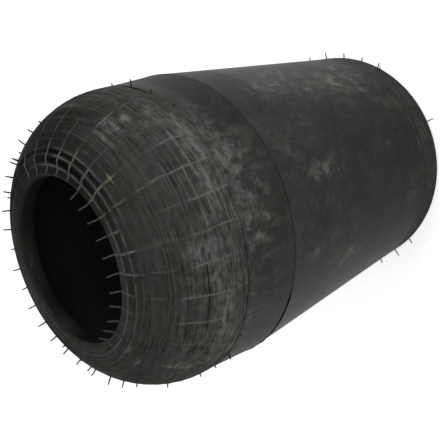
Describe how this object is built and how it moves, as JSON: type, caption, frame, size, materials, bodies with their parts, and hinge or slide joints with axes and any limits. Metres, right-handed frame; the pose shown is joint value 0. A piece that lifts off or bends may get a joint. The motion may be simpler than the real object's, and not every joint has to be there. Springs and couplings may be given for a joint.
{
  "type": "air spring bellows",
  "caption": "Rolling-lobe air spring sleeve in cord-reinforced black rubber, with a domed small end and a wire-cored bead at each end.",
  "frame": {"origin": "centre of the large end's face, on the sleeve's axis", "axes": "+Z along the sleeve's axis, from the large end up to the small end; X and Y are equal, as the sleeve is round"},
  "size_m": [0.255, 0.2548, 0.382],
  "materials": {
    "cover_rubber": "moulded black rubber with dusty talc smears and raised mould lines",
    "liner_rubber": "smooth black rubber",
    "cord_ply": "rubberised nylon cord on the bias",
    "filler_rubber": "hard black rubber",
    "chafer_rubber": "smooth dark grey rubber",
    "wrap_fabric": "rubberised woven tape",
    "bead_wire": "drawn steel wire with a thin brass coat"
  },
  "bodies": {
    "sleeve": {"outer_cover": "cover_rubber", "outer_cord_ply": "cord_ply", "inner_cord_ply": "cord_ply", "inner_liner": "liner_rubber", "large_bead_wires": "bead_wire", "large_bead_insulation": "filler_rubber", "large_bead_wrap": "wrap_fabric", "large_bead_filler": "filler_rubber", "large_bead_chafer": "chafer_rubber"},
    "small_end": {"small_bead_wires": "bead_wire", "small_bead_insulation": "filler_rubber", "small_bead_wrap": "wrap_fabric", "small_bead_filler": "filler_rubber", "small_bead_chafer": "chafer_rubber"}
  },
  "joints": [
    {"name": "stroke", "type": "slide", "parent": "sleeve", "child": "small_end", "axis": [0, 0, 1], "range_m": [-0.06, 0.015], "stiffness_N_per_m": 3000, "deforming": ["outer_cover", "outer_cord_ply", "inner_cord_ply", "inner_liner"]}
  ]
}
